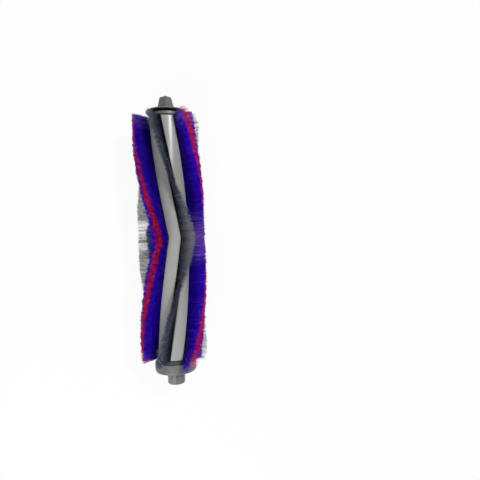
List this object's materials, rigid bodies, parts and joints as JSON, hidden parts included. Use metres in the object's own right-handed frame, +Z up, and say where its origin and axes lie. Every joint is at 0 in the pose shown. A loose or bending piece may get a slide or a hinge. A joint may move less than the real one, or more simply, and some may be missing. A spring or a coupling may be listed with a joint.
{
  "type": "vacuum roller brush",
  "caption": "Roller brush for a vacuum cleaner: chevron-slotted core, winding strips of soft pile and stiff bristles, a tapered square drive at one end and a free-turning bush at the other.",
  "frame": {"origin": "on the floor below the middle of the roller's length, straight under its axis", "axes": "+Y along the axis towards the square drive, +Z up as the roller lies on its pile"},
  "size_m": [0.0424, 0.18, 0.0412],
  "materials": {
    "core_plastic": "satin moulded, light warm grey",
    "cap_plastic": "satin moulded, mid grey",
    "bush_plastic": "satin moulded, dark grey",
    "washer_plastic": "natural nylon",
    "backing_plastic": "matt black",
    "pin_steel": "ground steel",
    "violet_pile": "soft nylon pile",
    "crimson_pile": "soft nylon pile",
    "dark_bristle": "stiff nylon bristles"
  },
  "bodies": {
    "roller": {"roller_core": "core_plastic", "drive_end_cap": "cap_plastic", "idle_end_cap": "cap_plastic", "axle_pin": "pin_steel", "retaining_clip": "pin_steel", "thrust_washer": "washer_plastic", "pile_backing_1_drive": "backing_plastic", "pile_backing_1_idle": "backing_plastic", "pile_backing_2_drive": "backing_plastic", "pile_backing_2_idle": "backing_plastic", "pile_backing_3_drive": "backing_plastic", "pile_backing_3_idle": "backing_plastic", "bristle_backing_1_drive": "backing_plastic", "bristle_backing_1_idle": "backing_plastic", "bristle_backing_2_drive": "backing_plastic", "bristle_backing_2_idle": "backing_plastic", "bristle_backing_3_drive": "backing_plastic", "bristle_backing_3_idle": "backing_plastic", "front_pile_1_drive": "violet_pile", "front_pile_1_idle": "violet_pile", "front_pile_2_drive": "violet_pile", "front_pile_2_idle": "violet_pile", "front_pile_3_drive": "violet_pile", "front_pile_3_idle": "violet_pile", "rear_pile_1_drive": "violet_pile", "rear_pile_1_idle": "violet_pile", "rear_pile_2_drive": "violet_pile", "rear_pile_2_idle": "violet_pile", "rear_pile_3_drive": "violet_pile", "rear_pile_3_idle": "violet_pile", "centre_pile_1_drive": "crimson_pile", "centre_pile_1_idle": "crimson_pile", "centre_pile_2_drive": "crimson_pile", "centre_pile_2_idle": "crimson_pile", "centre_pile_3_drive": "crimson_pile", "centre_pile_3_idle": "crimson_pile", "bristle_row_1_drive": "dark_bristle", "bristle_row_1_idle": "dark_bristle", "bristle_row_2_drive": "dark_bristle", "bristle_row_2_idle": "dark_bristle", "bristle_row_3_drive": "dark_bristle", "bristle_row_3_idle": "dark_bristle"},
    "bush": {"end_bush": "bush_plastic"}
  },
  "joints": [
    {"name": "bush_spin", "type": "hinge", "parent": "roller", "child": "bush", "pos_m": [0, -0.086, 0.0202], "axis": [0, 1, 0], "continuous": true}
  ]
}
